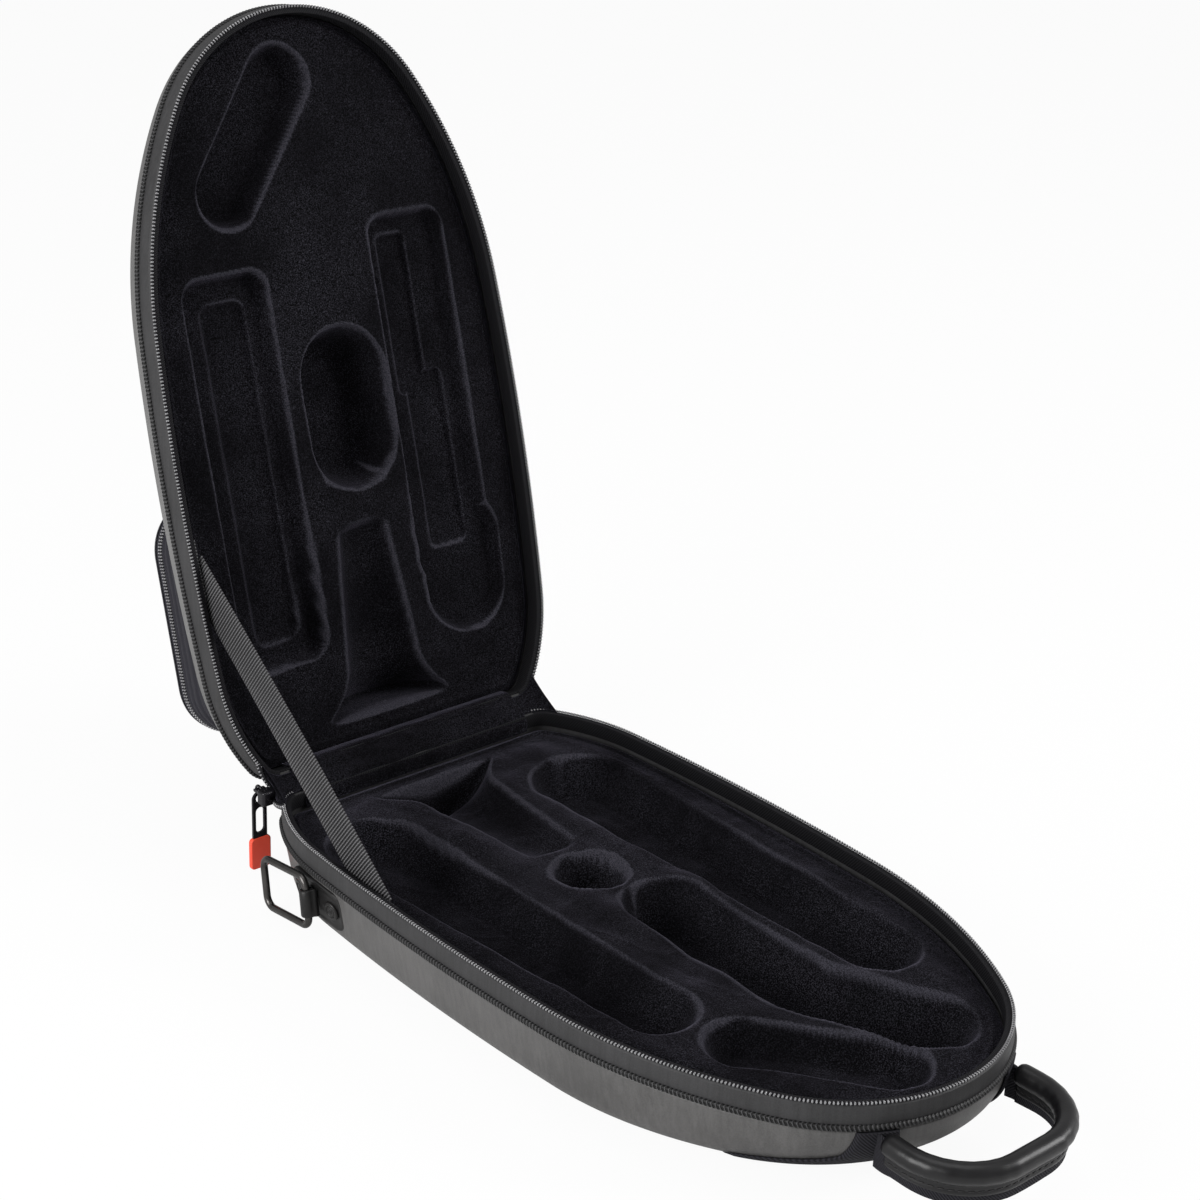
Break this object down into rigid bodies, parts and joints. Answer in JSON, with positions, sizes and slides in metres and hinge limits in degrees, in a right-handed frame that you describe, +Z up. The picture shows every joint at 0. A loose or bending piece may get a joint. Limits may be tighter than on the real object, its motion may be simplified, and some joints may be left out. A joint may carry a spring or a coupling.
{
  "type": "clarinet case",
  "caption": "Shaped zip-up clarinet case, open: hinged padded lid and base with wells for the instrument's parts, stay strap, carrying handle, zipped pocket and strap rings.",
  "frame": {"origin": "middle of the base's underside, half way from the hinge edge to the nose", "axes": "+Z up, +Y towards the hinge, -Y towards the nose and handle, +X to the right"},
  "size_m": [0.2462, 0.6148, 0.4525],
  "materials": {
    "shell": "satin",
    "band": "satin",
    "piping": "matte",
    "zip_tape": "matte",
    "zip_chain": "satin",
    "binding": "matte",
    "plush": "matte",
    "webbing": "matte",
    "hinge_cloth": "matte",
    "pocket_cloth": "matte",
    "dark_metal": "satin",
    "ring_metal": "gloss",
    "plate": "satin",
    "rivet": "gloss",
    "tag": "satin",
    "grip": "satin"
  },
  "bodies": {
    "base": {"base_shell": "shell", "base_rim_band": "band", "base_piping": "piping", "base_zip_tape": "zip_tape", "base_zip_chain": "zip_chain", "base_binding": "binding", "base_lining": "plush", "base_stay_tab": "webbing", "zip_slider": "dark_metal", "left_ring_plate": "plate", "right_ring_plate": "plate", "left_plate_rivets": "rivet", "right_plate_rivets": "rivet", "left_handle_tab": "webbing", "right_handle_tab": "webbing", "hinge_fabric": "hinge_cloth", "stay_strap": "webbing"},
    "lid": {"lid_shell": "shell", "lid_rim_band": "band", "lid_piping": "piping", "lid_zip_tape": "zip_tape", "lid_zip_chain": "zip_chain", "lid_binding": "binding", "lid_lining": "plush", "lid_stay_tab": "webbing", "pocket_gusset": "pocket_cloth", "pocket_inner_chain": "zip_chain", "pocket_hinge_tape": "zip_tape", "pocket_slider": "dark_metal"},
    "pocket_flap": {"pocket_cover": "pocket_cloth", "pocket_outer_chain": "zip_chain"},
    "pocket_pull": {"pocket_pull": "dark_metal"},
    "pull_ring": {"pull_ring": "dark_metal"},
    "zip_pull": {"zip_pull": "dark_metal", "pull_tag": "tag"},
    "left_strap_ring": {"left_strap_ring": "ring_metal"},
    "right_strap_ring": {"right_strap_ring": "ring_metal"},
    "handle": {"handle_web": "webbing", "handle_grip": "grip"}
  },
  "joints": [
    {"name": "lid_hinge", "type": "hinge", "parent": "base", "child": "lid", "pos_m": [0, 0.21135, 0.0516], "axis": [1, 0, 0], "range_deg": [0, 105.9], "deforming": ["hinge_fabric", "stay_strap"]},
    {"name": "pocket_flap_hinge", "type": "hinge", "parent": "lid", "child": "pocket_flap", "pos_m": [0, 0.28456, 0.05326], "axis": [-1, 0, 0], "range_deg": [0, 90], "deforming": ["pocket_hinge_tape"]},
    {"name": "pocket_pull_swing", "type": "hinge", "parent": "lid", "child": "pocket_pull", "pos_m": [0.1026, 0.29454, 0.08831], "axis": [0, -0.9617, 0.274], "range_deg": [0, 150]},
    {"name": "pull_ring_swing", "type": "hinge", "parent": "base", "child": "pull_ring", "pos_m": [-0.09894, 0.21665, 0.0538], "axis": [1, 0, 0], "range_deg": [0, 80]},
    {"name": "zip_pull_swing", "type": "hinge", "parent": "pull_ring", "child": "zip_pull", "pos_m": [-0.09894, 0.21665, 0.04985], "axis": [0, 1, 0], "range_deg": [-40, 40]},
    {"name": "left_ring_swing", "type": "hinge", "parent": "base", "child": "left_strap_ring", "pos_m": [-0.1192, 0.14247, 0.024], "axis": [0.0068, 0.1563, 0.9877], "range_deg": [0, 150]},
    {"name": "right_ring_swing", "type": "hinge", "parent": "base", "child": "right_strap_ring", "pos_m": [0.1192, 0.14247, 0.024], "axis": [0.0068, -0.1563, -0.9877], "range_deg": [0, 150]},
    {"name": "handle_swing", "type": "hinge", "parent": "base", "child": "handle", "pos_m": [0, -0.20073, 0.0405], "axis": [-1, 0, 0], "range_deg": [0, 40]}
  ]
}
